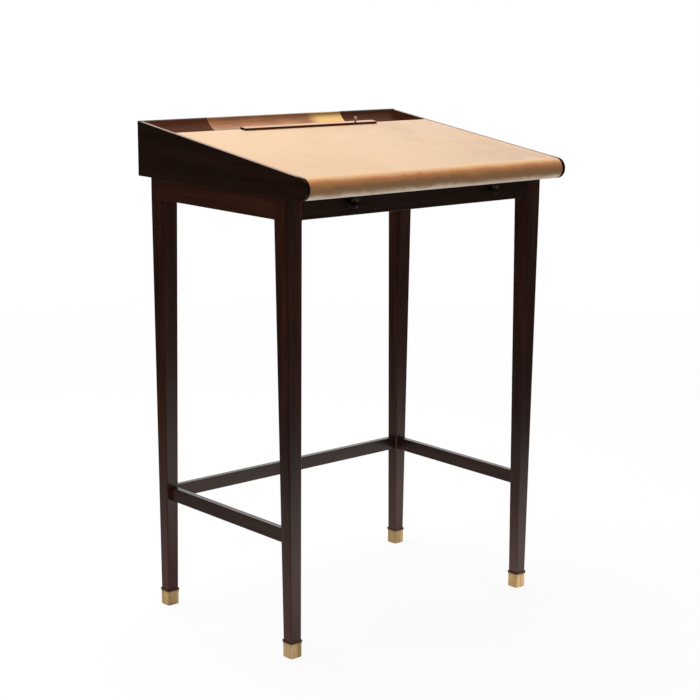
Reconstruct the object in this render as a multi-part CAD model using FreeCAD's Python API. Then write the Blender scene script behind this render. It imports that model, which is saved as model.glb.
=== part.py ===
import FreeCAD, Part
import math
import os

# A clerk's standing desk: a wedge-shaped case with a leather writing slope, carried by a frame of
# four tapered legs.  Millimetres.  X runs to the right, Y to the back, Z up.  The origin is on the
# floor, under the middle of the case.

V = FreeCAD.Vector

# ---- driving dimensions: case ----
case_width = 752.0
case_depth = 578.0
desk_height = 1100.0
case_back_height = 119.0
nose_radius = 23.0
side_thickness = 9.0
back_thickness = 9.0
bottom_thickness = 10.0
case_edge_radius = 1.0
case_joint_ease = 0.5

# ---- driving dimensions: writing surface ----
leather_thickness = 2.0
leather_end_gap = 0.3
panel_thickness = 16.0
ledger_size = 12.0
cross_bearer_thickness = 14.0

# ---- driving dimensions: pen tray ----
tray_opening = 118.5
tray_step = 12.0
tray_bed_thickness = 10.0
cove_radius = 46.0
liner_length = 391.0
liner_thickness = 1.0
liner_lip = 5.0
liner_front_gap = 0.3

# ---- driving dimensions: page bar ----
bar_length = 387.0
bar_depth = 18.0
bar_thickness = 4.8
bar_edge_radius = 0.8
bar_pin_inset = 59.5
bar_pin_setback = 9.0
bar_running_gap = 0.05
washer_diameter = 12.0
washer_thickness = 0.5
pin_diameter = 4.0
pin_sink = 14.0
ball_diameter = 8.0
ball_stem = 4.2

# ---- driving dimensions: legs and feet ----
leg_top_size = 41.3
leg_foot_size = 27.8
front_leg_lean_in = 11.0
front_leg_lean_back = -1.8
back_leg_lean_in = 4.6
back_leg_lean_forward = 5.9
leg_inset_side = 5.5
leg_inset_back = 38.5
leg_inset_front = 70.0
leg_edge_radius = 3.0
cuff_height = 5.5
cuff_swell = 2.2
sabot_height = 33.0
sabot_wall = 1.5
sabot_floor = 2.0
sabot_corner_radius = 6.0
sabot_rim_swell = 0.6
sabot_rim_height = 3.5
glue_gap = 0.05

# ---- driving dimensions: aprons, drawer rail and stretchers ----
apron_height = 46.0
apron_thickness = 18.0
apron_edge_radius = 1.0
rail_height = 12.0
stretcher_top = 282.0
stretcher_height = 30.5
stretcher_thickness = 15.5
stretcher_edge_radius = 1.5
apron_tenon_thickness = 8.0
apron_tenon_shoulder = 5.0
apron_tenon_wall = 7.5
rail_tenon_length = 15.0
rail_tenon_shoulder = 2.5
stretcher_tenon_shoulder = 3.5
stretcher_tenon_wall = 1.5

# ---- driving dimensions: drawer ----
drawer_back_room = 30.0
drawer_gap = 0.8
drawer_running_gap = 0.3
drawer_front_thickness = 18.0
drawer_front_ease = 0.8
drawer_side_thickness = 9.0
drawer_bottom_thickness = 5.0
drawer_bottom_groove = 4.0
drawer_bottom_rise = 5.0
runner_ledge = 12.0
stop_length = 16.0
stop_height = 18.0
knob_diameter = 25.0
knob_projection = 26.0
knob_spacing = 410.0
knob_neck_diameter = 11.0
knob_neck_length = 8.0
knob_dome = 7.0
knob_rim_radius = 1.0
knob_spigot_diameter = 7.0
knob_spigot_length = 13.0

# ---- driving dimensions: screws that hold the case down ----
screw_diameter = 5.0
screw_length = 38.0
screw_head_diameter = 9.5
screw_head_height = 2.8

# ---- derived places: case ----
half_width = case_width / 2
inner_half_width = half_width - side_thickness
back_y = case_depth / 2
front_y = -case_depth / 2
back_inner_y = back_y - back_thickness
case_bottom_z = desk_height - case_back_height
bottom_top_z = case_bottom_z + bottom_thickness
nose_y = front_y + nose_radius
nose_z = case_bottom_z + nose_radius
nose_back_y = nose_y + nose_radius

# The slope runs from the top of the back to a tangent on the round nose.
slope_run = math.hypot(back_y - nose_y, desk_height - nose_z)
slope_angle = math.atan2(desk_height - nose_z, back_y - nose_y) - math.asin(nose_radius / slope_run)
slope_normal = V(0, -math.sin(slope_angle), math.cos(slope_angle))

# ---- derived places: writing surface and tray ----
tray_edge_y = back_inner_y - tray_opening
cover_half_width = inner_half_width - leather_end_gap


def slope_z(y, drop=0.0):
    """Height of the slope at depth y, measured on a plane that lies drop under the surface."""
    return desk_height - (back_y - y) * math.tan(slope_angle) - drop / math.cos(slope_angle)


tray_floor_z = slope_z(tray_edge_y) - tray_step
tray_bed_bottom_z = tray_floor_z - tray_bed_thickness

# ---- derived places: leg frame ----
leg_outer_x = half_width - leg_inset_side
leg_front_y = front_y + leg_inset_front
leg_back_y = back_y - leg_inset_back
leg_inner_x = leg_outer_x - leg_top_size
leg_front_inner_y = leg_front_y + leg_top_size
leg_back_inner_y = leg_back_y - leg_top_size
apron_bottom_z = case_bottom_z - apron_height
rail_top_z = apron_bottom_z + rail_height
stretcher_middle_z = stretcher_top - stretcher_height / 2
CUFF_STEPS = 8
SIDES = {"left": -1, "right": 1}
ENDS = {"front": -1, "back": 1}


def taper_share(z):
    """How far up the taper height z is: 0 at the sabot's rim, 1 at the aprons."""
    return min(max((z - sabot_height) / (apron_bottom_z - sabot_height), 0.0), 1.0)


def leg_size(z):
    """Width of the square leg at height z."""
    return leg_foot_size + (leg_top_size - leg_foot_size) * taper_share(z)


def leg_center(side, end, z):
    """Middle of the leg at height z."""
    outer_y, lean_in, lean_to_middle = ((leg_front_y, front_leg_lean_in, front_leg_lean_back) if end < 0
                                        else (leg_back_y, back_leg_lean_in, back_leg_lean_forward))
    lean = 1 - taper_share(z)
    half = leg_size(z) / 2
    return side * (leg_outer_x - lean_in * lean - half), outer_y - end * (lean_to_middle * lean + half)


def leg_stations():
    """Heights up the leg, each with the swell of the round cuff there."""
    stations = [(sabot_floor, 0.0)]
    for step in range(CUFF_STEPS + 1):
        turn = math.pi * step / CUFF_STEPS
        rise = cuff_height * (1 - math.cos(turn)) / 2
        stations.append((sabot_height + rise, cuff_swell * math.sin(turn)))
    return stations + [(apron_bottom_z, 0.0)]


# ---- shape helpers ----
def box(x0, x1, y0, y1, z0, z1):
    """Box between two corners, given in any order."""
    low = V(min(x0, x1), min(y0, y1), min(z0, z1))
    return Part.makeBox(abs(x1 - x0), abs(y1 - y0), abs(z1 - z0), low)


def line(a, b):
    """Straight edge."""
    return Part.makeLine(a, b)


def arc(a, middle, b):
    """Round edge through three points."""
    return Part.Arc(a, middle, b).toShape()


def prism(edges, along):
    """Solid swept from edges that close into one outline."""
    return Part.Face(Part.Wire(Part.sortEdges(edges)[0])).extrude(along)


def rounded_square(x, y, z, size, radius):
    """Horizontal square wire with round corners."""
    half = size / 2
    flat = half - radius
    knee = flat + radius * math.sqrt(0.5)
    edges = []
    for turn in range(4):
        spin = FreeCAD.Rotation(V(0, 0, 1), 90 * turn)
        start, end = V(half, -flat, 0), V(half, flat, 0)
        middle, finish = V(knee, knee, 0), V(flat, half, 0)
        start, end, middle, finish = [V(x, y, z) + spin.multVec(p) for p in (start, end, middle, finish)]
        edges += [line(start, end), arc(end, middle, finish)]
    return Part.Wire(edges)


def loft(wires):
    """Solid ruled from each wire to the next."""
    return Part.makeLoft(wires, True, True)


def fillet_where(shape, radius, keep):
    """Round every edge whose middle passes the test."""
    chosen = [e for e in shape.Edges if keep(e.valueAt((e.FirstParameter + e.LastParameter) / 2))]
    return shape.makeFillet(radius, chosen)


def near(a, b):
    """True where two sizes are the same but for rounding."""
    return abs(a - b) < 1e-4


parts = {}

# ---- legs and brass sabots ----
leg_blanks = {}
for end_name, end in ENDS.items():
    for side_name, side in SIDES.items():
        name = "leg_" + end_name + "_" + side_name
        wires = []
        for z, swell in leg_stations():
            x, y = leg_center(side, end, z)
            wires.append(rounded_square(x, y, z, leg_size(z) + 2 * swell, leg_edge_radius))
        outer_x = side * leg_outer_x
        outer_y = leg_front_y if end < 0 else leg_back_y
        head = box(outer_x, outer_x - side * leg_top_size, outer_y, outer_y - end * leg_top_size,
                   apron_bottom_z, case_bottom_z)
        head = fillet_where(head, leg_edge_radius,
                            lambda p: near(p.x, outer_x) and near(p.y, outer_y))
        leg_blanks[name] = loft(wires).fuse(head).removeSplitter()

        foot_x, foot_y = leg_center(side, end, sabot_height)
        sabot_size = leg_foot_size + 2 * (glue_gap + sabot_wall)
        rim_size = sabot_size + 2 * sabot_rim_swell
        rim_z = sabot_height - sabot_rim_height
        sections = [(0, sabot_size - sabot_wall), (sabot_wall / 2, sabot_size), (rim_z, sabot_size),
                    (rim_z + sabot_rim_swell, rim_size), (sabot_height, rim_size)]
        shell = loft([rounded_square(foot_x, foot_y, z, size, sabot_corner_radius)
                      for z, size in sections])
        socket = Part.Face(rounded_square(foot_x, foot_y, sabot_floor, leg_foot_size + 2 * glue_gap,
                                          leg_edge_radius)).extrude(V(0, 0, sabot_height))
        parts["sabot_" + end_name + "_" + side_name] = shell.cut(socket)


def ease_lower_arris(board, on_face):
    """Round the shown lower edge of a board."""
    return fillet_where(board.removeSplitter(), apron_edge_radius,
                        lambda p: on_face(p) and near(p.z, apron_bottom_z))


mortises = []


def tenon(x0, x1, y0, y1, z0, z1):
    """Tenon solid; its mortise, larger by the glue gap all round, is kept for the legs."""
    g = glue_gap
    solid = box(x0, x1, y0, y1, z0, z1)
    room = solid.BoundBox
    mortises.append(box(room.XMin - g, room.XMax + g, room.YMin - g, room.YMax + g,
                        room.ZMin - g, room.ZMax + g))
    return solid


# ---- aprons ----
tenon_low_z = apron_bottom_z + apron_tenon_shoulder
tenon_high_z = case_bottom_z - apron_tenon_shoulder
tenon_inset = (apron_thickness - apron_tenon_thickness) / 2
apron_tenon_length = leg_top_size - tenon_inset - apron_tenon_thickness - apron_tenon_wall
for side_name, side in SIDES.items():
    face_x = side * leg_outer_x
    apron = box(face_x, face_x - side * apron_thickness, leg_front_inner_y, leg_back_inner_y,
                apron_bottom_z, case_bottom_z)
    for y, end in ((leg_front_inner_y, -1), (leg_back_inner_y, 1)):
        apron = apron.fuse(tenon(face_x - side * tenon_inset,
                                 face_x - side * (tenon_inset + apron_tenon_thickness),
                                 y, y + end * apron_tenon_length, tenon_low_z, tenon_high_z))
    parts["apron_" + side_name] = ease_lower_arris(apron, lambda p: near(p.x, face_x))

apron = box(-leg_inner_x, leg_inner_x, leg_back_y, leg_back_y - apron_thickness,
            apron_bottom_z, case_bottom_z)
for side in SIDES.values():
    x = side * leg_inner_x
    apron = apron.fuse(tenon(x, x + side * apron_tenon_length, leg_back_y - tenon_inset,
                             leg_back_y - tenon_inset - apron_tenon_thickness, tenon_low_z, tenon_high_z))
parts["apron_back"] = ease_lower_arris(apron, lambda p: near(p.y, leg_back_y))

# ---- rail under the drawer ----
rail = box(-leg_inner_x, leg_inner_x, leg_front_y, leg_front_inner_y, apron_bottom_z, rail_top_z)
for side in SIDES.values():
    x = side * leg_inner_x
    rail = rail.fuse(tenon(x, x + side * rail_tenon_length,
                           leg_front_y + apron_tenon_thickness, leg_front_inner_y - apron_tenon_thickness,
                           apron_bottom_z + rail_tenon_shoulder, rail_top_z - rail_tenon_shoulder))
parts["drawer_rail"] = ease_lower_arris(rail, lambda p: near(p.y, leg_front_y))

# ---- stretchers; each side one runs straight, midway between the lines of its two legs ----
stretcher_low = stretcher_top - stretcher_height
tenon_half = stretcher_thickness / 2 - stretcher_tenon_shoulder
tenon_z = (stretcher_low + stretcher_tenon_shoulder, stretcher_top - stretcher_tenon_shoulder)
leg_at_stretcher = leg_size(stretcher_middle_z)
half_beam = stretcher_thickness / 2
stretcher_tenon_length = leg_at_stretcher / 2 - tenon_half - stretcher_tenon_wall
for side_name, side in SIDES.items():
    x_front, y_front = leg_center(side, -1, stretcher_middle_z)
    x_back, y_back = leg_center(side, 1, stretcher_middle_z)
    x = (x_front + x_back) / 2
    beam = box(x - half_beam, x + half_beam, y_front, y_back, stretcher_low, stretcher_top)
    beam = fillet_where(beam, stretcher_edge_radius, lambda p: near(p.y, (y_front + y_back) / 2))
    for end_name, end in ENDS.items():
        beam = beam.cut(leg_blanks["leg_" + end_name + "_" + side_name])
    for y, end in ((y_front, -1), (y_back, 1)):
        shoulder = y - end * leg_at_stretcher / 2
        beam = beam.fuse(tenon(x - tenon_half, x + tenon_half, shoulder - end * half_beam,
                             shoulder + end * stretcher_tenon_length, *tenon_z))
    parts["stretcher_" + side_name] = beam.removeSplitter()

x, y = leg_center(1, 1, stretcher_middle_z)
beam = box(-x, x, y - half_beam, y + half_beam, stretcher_low, stretcher_top)
beam = fillet_where(beam, stretcher_edge_radius, lambda p: near(p.x, 0))
for side_name, side in SIDES.items():
    beam = beam.cut(leg_blanks["leg_back_" + side_name])
    shoulder = side * (x - leg_at_stretcher / 2)
    beam = beam.fuse(tenon(shoulder - side * half_beam, shoulder + side * stretcher_tenon_length,
                         y - tenon_half, y + tenon_half, *tenon_z))
parts["stretcher_back"] = beam.removeSplitter()

# ---- screws from the case bottom into the leg heads ----
screw_holes = []
screws = []
tip_z = bottom_top_z - screw_length
head_z = bottom_top_z - screw_head_height
shank_radius = screw_diameter / 2
head_radius = screw_head_diameter / 2
for end_name, end in ENDS.items():
    for side_name, side in SIDES.items():
        x, y = leg_center(side, end, case_bottom_z)
        shank = Part.makeCylinder(shank_radius, screw_length - screw_head_height, V(x, y, tip_z))
        head = Part.makeCone(shank_radius, head_radius, screw_head_height, V(x, y, head_z))
        screws.append(shank.fuse(head))
        bore = Part.makeCylinder(shank_radius + glue_gap, screw_length, V(x, y, tip_z - glue_gap))
        sink = Part.makeCone(shank_radius + glue_gap, head_radius + glue_gap, screw_head_height,
                             V(x, y, head_z))
        screw_holes.append(bore.fuse(sink))
parts["case_screws"] = Part.makeCompound(screws)

for name, blank in leg_blanks.items():
    parts[name] = blank.cut(mortises + screw_holes)

# ---- case sides, back and bottom ----
tangent_y = nose_y - nose_radius * math.sin(slope_angle)
for side_name, side in SIDES.items():
    face_x = side * half_width
    corners = [V(face_x, nose_y, case_bottom_z), V(face_x, back_inner_y, case_bottom_z),
               V(face_x, back_inner_y, slope_z(back_inner_y)),
               V(face_x, tangent_y, slope_z(tangent_y))]
    edges = [line(a, b) for a, b in zip(corners, corners[1:])]
    edges.append(arc(corners[-1], V(face_x, front_y, nose_z), corners[0]))
    panel = prism(edges, V(-side * side_thickness, 0, 0))
    panel = fillet_where(panel, case_joint_ease, lambda p: near(p.x, face_x) and near(p.y, back_inner_y))
    parts["case_side_" + side_name] = fillet_where(
        panel, case_edge_radius,
        lambda p: near(p.x, face_x) and p.y < back_inner_y - 1 and p.z > case_bottom_z + nose_radius / 2)


def across(points, half):
    """Straight-sided section in the YZ plane, swept across the desk."""
    corners = [V(-half, y, z) for y, z in points]
    edges = [line(a, b) for a, b in zip(corners, corners[1:] + corners[:1])]
    return prism(edges, V(2 * half, 0, 0))


case_back = across([(back_inner_y, case_bottom_z), (back_y, case_bottom_z),
                    (back_y, slope_z(back_y)), (back_inner_y, slope_z(back_inner_y))], half_width)
case_back = fillet_where(case_back, case_joint_ease,
                         lambda p: near(abs(p.x), half_width) and near(p.y, back_inner_y))
parts["case_back"] = fillet_where(case_back, case_edge_radius,
                                  lambda p: near(abs(p.x), half_width) and near(p.y, back_y))
case_bottom = box(-inner_half_width, inner_half_width, nose_back_y, back_inner_y,
                  case_bottom_z, bottom_top_z)
parts["case_bottom"] = case_bottom.cut(screw_holes)

# ---- writing panel, its bearers, the round nose and the leather ----
panel_drop = leather_thickness + panel_thickness
writing_panel = across([(nose_back_y, slope_z(nose_back_y, panel_drop)),
                        (tray_edge_y, slope_z(tray_edge_y, panel_drop)),
                        (tray_edge_y, slope_z(tray_edge_y, leather_thickness)),
                        (nose_back_y, slope_z(nose_back_y, leather_thickness))], inner_half_width)

bearer_y = tray_edge_y - cross_bearer_thickness
parts["cross_bearer"] = across([(bearer_y, bottom_top_z), (tray_edge_y, bottom_top_z),
                                (tray_edge_y, slope_z(tray_edge_y, panel_drop)),
                                (bearer_y, slope_z(bearer_y, panel_drop))], inner_half_width)
for side_name, side in SIDES.items():
    ledger = across([(nose_back_y, slope_z(nose_back_y, panel_drop + ledger_size)),
                     (bearer_y, slope_z(bearer_y, panel_drop + ledger_size)),
                     (bearer_y, slope_z(bearer_y, panel_drop)),
                     (nose_back_y, slope_z(nose_back_y, panel_drop))], ledger_size / 2)
    ledger.translate(V(side * (inner_half_width - ledger_size / 2), 0, 0))
    parts["ledger_" + side_name] = ledger


wrap_angle = math.pi - slope_angle


def wrap_run(half, drop, end_y):
    """Start, edges and end of a line that runs under the nose, round it and up the slope."""
    radius = nose_radius - drop
    bottom, middle, top = [V(-half, nose_y - radius * math.sin(turn), nose_z - radius * math.cos(turn))
                           for turn in (0, wrap_angle / 2, wrap_angle)]
    start = V(-half, nose_back_y, case_bottom_z + drop)
    end = V(-half, end_y, slope_z(end_y, drop))
    return start, [line(start, bottom), arc(bottom, middle, top), line(top, end)], end


core_start, core, core_end = wrap_run(inner_half_width, leather_thickness, nose_back_y)
parts["nose_rail"] = prism(core + [line(core_end, core_start)], V(2 * inner_half_width, 0, 0))

skin_start, skin, skin_end = wrap_run(cover_half_width, 0, tray_edge_y)
flesh_start, flesh, flesh_end = wrap_run(cover_half_width, leather_thickness, tray_edge_y)
leather = prism(skin + flesh + [line(skin_start, flesh_start), line(skin_end, flesh_end)],
                V(2 * cover_half_width, 0, 0))

# ---- pen tray: coved bed and brass liner ----
cove_z = tray_floor_z + cove_radius
cove_top_z = slope_z(back_inner_y)
cove_y = back_inner_y - math.sqrt(cove_radius ** 2 - (cove_z - cove_top_z) ** 2)
cove_turn = math.atan2(back_inner_y - cove_y, cove_z - cove_top_z)


def cove_point(x, radius, turn):
    """Point on the cove; the angle starts at the tray floor and opens to the back."""
    return V(x, cove_y + radius * math.sin(turn), cove_z - radius * math.cos(turn))


def cove_run(x, radius, front_y):
    """Edges of the tray section at one radius: the flat floor, then the cove."""
    bottom, middle, top = [cove_point(x, radius, turn) for turn in (0, cove_turn / 2, cove_turn)]
    return [line(V(x, front_y, bottom.z), bottom), arc(bottom, middle, top)]


x = -inner_half_width
bed_corners = [cove_point(x, cove_radius, cove_turn), V(x, back_inner_y, tray_bed_bottom_z),
               V(x, tray_edge_y, tray_bed_bottom_z), V(x, tray_edge_y, tray_floor_z)]
bed_edges = [line(a, b) for a, b in zip(bed_corners, bed_corners[1:])]
bed_edges += cove_run(x, cove_radius, tray_edge_y)
parts["tray_bed"] = prism(bed_edges, V(2 * inner_half_width, 0, 0))

# The liner lies on the bed and folds over the top edge of the back.
x = -liner_length / 2
liner_front_y = tray_edge_y + liner_front_gap
lip_y = back_inner_y + liner_lip
fold = cove_point(x, cove_radius, cove_turn)
fold_inside = cove_point(x, cove_radius - liner_thickness, cove_turn)
fold_over = fold + slope_normal * liner_thickness
fold_middle = fold + ((fold_inside - fold) + (fold_over - fold)).normalize() * liner_thickness
lip_top = V(x, lip_y, slope_z(lip_y, -liner_thickness))
lip_under = V(x, lip_y, slope_z(lip_y))
front_under = V(x, liner_front_y, tray_floor_z)
front_top = V(x, liner_front_y, tray_floor_z + liner_thickness)
liner_edges = [line(front_under, front_top), arc(fold_inside, fold_middle, fold_over),
               line(fold_over, lip_top), line(lip_top, lip_under), line(lip_under, fold)]
liner_edges += cove_run(x, cove_radius, liner_front_y)
liner_edges += cove_run(x, cove_radius - liner_thickness, liner_front_y)
parts["tray_liner"] = prism(liner_edges, V(liner_length, 0, 0))

# ---- page bar: it lies on the slope and swings about a ball-headed pin ----
# The pin group is modelled upright about the Z axis, then tipped onto the slope.
pin_x = bar_length / 2 - bar_pin_inset
pin_y = tray_edge_y - bar_pin_setback * math.cos(slope_angle)
tip_over = FreeCAD.Placement(V(pin_x, pin_y, slope_z(pin_y)),
                             FreeCAD.Rotation(V(1, 0, 0), math.degrees(slope_angle)))


def on_slope(shape):
    """Tip an upright shape onto the slope, with its own origin at the pin."""
    shape.Placement = tip_over.multiply(shape.Placement)
    return shape


bar_bottom = washer_thickness
bar_top = bar_bottom + bar_thickness
pin_radius = pin_diameter / 2
running_bore = Part.makeCylinder(pin_radius + bar_running_gap, bar_top + 1, V(0, 0, 0))
bar = box(bar_pin_inset, bar_pin_inset - bar_length, bar_pin_setback, bar_pin_setback - bar_depth,
          bar_bottom, bar_top)
bar = fillet_where(bar, bar_edge_radius, lambda p: not near(p.z, bar_bottom))
parts["page_bar"] = on_slope(bar.cut(running_bore))

washer = Part.makeCylinder(washer_diameter / 2, washer_thickness)
parts["bar_washer"] = on_slope(washer.cut(Part.makeCylinder(pin_radius + glue_gap, bar_top, V(0, 0, -1))))

ball_z = bar_top + ball_stem + ball_diameter / 2
shank = Part.makeCylinder(pin_radius, ball_z + pin_sink, V(0, 0, -pin_sink))
collar = Part.makeCone(pin_radius * 1.5, pin_radius, ball_stem / 2, V(0, 0, bar_top + bar_running_gap))
ball = Part.makeSphere(ball_diameter / 2, V(0, 0, ball_z))
parts["bar_pin"] = on_slope(shank.fuse([collar, ball]).removeSplitter())
pin_bore = on_slope(Part.makeCylinder(pin_radius + glue_gap, 2 * pin_sink, V(0, 0, -pin_sink - glue_gap)))
parts["writing_panel"] = writing_panel.cut(pin_bore)
parts["leather_cover"] = leather.cut(pin_bore)

# ---- drawer runners, guides and stops ----
drawer_half = leg_inner_x - drawer_gap
drawer_back_y = leg_back_inner_y - drawer_back_room
for side_name, side in SIDES.items():
    apron_inner_x = side * (leg_outer_x - apron_thickness)
    guide_x = side * leg_inner_x
    ledge_x = guide_x - side * runner_ledge
    parts["runner_" + side_name] = box(apron_inner_x, ledge_x, leg_front_inner_y, leg_back_inner_y,
                                       apron_bottom_z, rail_top_z)
    parts["guide_" + side_name] = box(apron_inner_x, guide_x, leg_front_inner_y, leg_back_inner_y,
                                      rail_top_z, case_bottom_z)
    stop_y = drawer_back_y + drawer_running_gap
    parts["drawer_stop_" + side_name] = box(guide_x, ledge_x, stop_y, stop_y + stop_length,
                                            rail_top_z, rail_top_z + stop_height)

# ---- drawer ----
drawer_top_z = case_bottom_z - drawer_gap
side_low_z = rail_top_z + drawer_running_gap
groove_z = side_low_z + drawer_bottom_rise
bottom_panel_top = groove_z + drawer_bottom_thickness
box_front_y = leg_front_y + drawer_front_thickness
side_inner_x = drawer_half - drawer_side_thickness
panel_half = side_inner_x + drawer_bottom_groove - glue_gap
panel_front_y = box_front_y - drawer_bottom_groove + glue_gap
groove = box(-panel_half - glue_gap, panel_half + glue_gap, panel_front_y - glue_gap, drawer_back_y + 1,
             groove_z, bottom_panel_top)
drawer_front = box(-drawer_half, drawer_half, leg_front_y, box_front_y, rail_top_z + drawer_gap,
                   drawer_top_z)
knob_z = (rail_top_z + case_bottom_z) / 2


def knob_section(x):
    """Half section of a turned knob: spigot, neck, flared head and a low dome."""
    neck, rim = knob_neck_diameter / 2, knob_diameter / 2
    spigot = knob_spigot_diameter / 2 - glue_gap
    rim_out = knob_projection - knob_dome
    dome_radius = (rim * rim + knob_dome * knob_dome) / (2 * knob_dome)
    half_turn = math.asin(rim / dome_radius) / 2
    dome_middle = knob_projection - dome_radius * (1 - math.cos(half_turn))

    def at(radius, out):
        return V(x + radius, leg_front_y - out, knob_z)

    back = -knob_spigot_length
    flare_middle = at(neck + (rim - neck) * (1 - math.sqrt(0.5)),
                      knob_neck_length + (rim_out - knob_neck_length) * math.sqrt(0.5))
    edges = [line(at(0, back), at(spigot, back)),
             line(at(spigot, back), at(spigot, 0)),
             line(at(spigot, 0), at(neck, 0)),
             line(at(neck, 0), at(neck, knob_neck_length)),
             arc(at(neck, knob_neck_length), flare_middle, at(rim, rim_out)),
             arc(at(rim, rim_out), at(dome_radius * math.sin(half_turn), dome_middle),
                 at(0, knob_projection)),
             line(at(0, knob_projection), at(0, back))]
    return Part.Face(Part.Wire(edges))


def is_front_outline(p):
    """True on the four outer edges of the drawer front's face."""
    on_rim = near(abs(p.x), drawer_half) or near(p.z, drawer_top_z) or near(p.z, rail_top_z + drawer_gap)
    return near(p.y, leg_front_y) and on_rim


for side_name, side in SIDES.items():
    x = side * knob_spacing / 2
    knob = knob_section(x).revolve(V(x, leg_front_y, knob_z), V(0, 1, 0), 360)
    rim_y = leg_front_y - knob_projection + knob_dome
    parts["knob_" + side_name] = fillet_where(knob, knob_rim_radius, lambda p: near(p.y, rim_y))
    bore = Part.makeCylinder(knob_spigot_diameter / 2, knob_spigot_length + glue_gap,
                             V(x, leg_front_y, knob_z), V(0, 1, 0))
    drawer_front = drawer_front.cut(bore)
    wall = box(side * drawer_half, side * side_inner_x, box_front_y, drawer_back_y,
               side_low_z, drawer_top_z)
    parts["drawer_side_" + side_name] = wall.cut(groove)

parts["drawer_front"] = fillet_where(drawer_front.cut(groove), drawer_front_ease, is_front_outline)
parts["drawer_back"] = box(-side_inner_x, side_inner_x, drawer_back_y - drawer_side_thickness,
                           drawer_back_y, bottom_panel_top, drawer_top_z)
parts["drawer_bottom"] = box(-panel_half, panel_half, panel_front_y, drawer_back_y,
                             groove_z, bottom_panel_top)

# ---- one STEP file per piece ----
os.makedirs("parts", exist_ok=True)
for name, shape in parts.items():
    shape.exportStep("parts/" + name + ".step")
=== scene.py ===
"""Dresses the clerk's standing desk: finishes, the leather cover, the studio and the camera.

Lengths are in metres throughout.
"""

import logging
import math
from dataclasses import dataclass, field, replace
from enum import Enum
from typing import Dict, Iterable, List, Mapping, Optional, Sequence, Tuple, Union

import bpy
from mathutils import Matrix, Vector


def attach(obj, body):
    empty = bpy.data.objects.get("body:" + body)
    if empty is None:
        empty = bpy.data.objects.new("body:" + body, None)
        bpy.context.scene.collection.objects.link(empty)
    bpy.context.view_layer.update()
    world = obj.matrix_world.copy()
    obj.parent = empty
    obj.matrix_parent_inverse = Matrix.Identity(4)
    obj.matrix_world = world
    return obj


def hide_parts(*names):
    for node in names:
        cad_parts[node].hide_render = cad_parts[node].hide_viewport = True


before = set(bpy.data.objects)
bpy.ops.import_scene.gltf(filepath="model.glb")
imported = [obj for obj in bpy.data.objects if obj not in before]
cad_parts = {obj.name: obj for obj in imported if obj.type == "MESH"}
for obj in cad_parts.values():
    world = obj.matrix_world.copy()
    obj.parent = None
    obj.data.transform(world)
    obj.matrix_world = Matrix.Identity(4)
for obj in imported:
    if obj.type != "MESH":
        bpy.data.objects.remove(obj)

Colour = Tuple[float, float, float]
Place = Tuple[float, float, float]
Stops = Tuple[Tuple[float, Colour], ...]
Key = Union[str, int]
Value = Union["Wire", float, Sequence[float]]

WHITE: Colour = (1.0, 1.0, 1.0)
MID_GREY: Colour = (0.5, 0.5, 0.5)
HIDE_MAP = "hide"
report = logging.getLogger("standing_desk")

# Places on the desk that its finishes and its hide follow.
PANEL_FACE_X = 0.367
NOSE_Y = -0.266
NOSE_Z = 1.004
KNOB_Z = 0.964


# ---------------------------------------------------------------- shader writing


class Join(Enum):
    """Ways to join two values, by the names that Math, Vector Math and Mix nodes give them."""

    BLEND = "MIX"
    ADD = "ADD"
    SUBTRACT = "SUBTRACT"
    MULTIPLY = "MULTIPLY"
    DIVIDE = "DIVIDE"


class Wire:
    """One output socket that takes part in Python expressions."""

    def __init__(self, board: "Board", socket: bpy.types.NodeSocket) -> None:
        """Keep the socket and the board that it stands on."""
        self.board = board
        self.socket = socket

    def __add__(self, other: Value) -> "Wire":
        """self + other."""
        return self.board.reckon(Join.ADD, self, other)

    def __radd__(self, other: Value) -> "Wire":
        """other + self."""
        return self.board.reckon(Join.ADD, other, self)

    def __sub__(self, other: Value) -> "Wire":
        """self - other."""
        return self.board.reckon(Join.SUBTRACT, self, other)

    def __rsub__(self, other: Value) -> "Wire":
        """other - self."""
        return self.board.reckon(Join.SUBTRACT, other, self)

    def __mul__(self, other: Value) -> "Wire":
        """self * other."""
        return self.board.reckon(Join.MULTIPLY, self, other)

    def __truediv__(self, other: Value) -> "Wire":
        """self / other."""
        return self.board.reckon(Join.DIVIDE, self, other)


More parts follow.
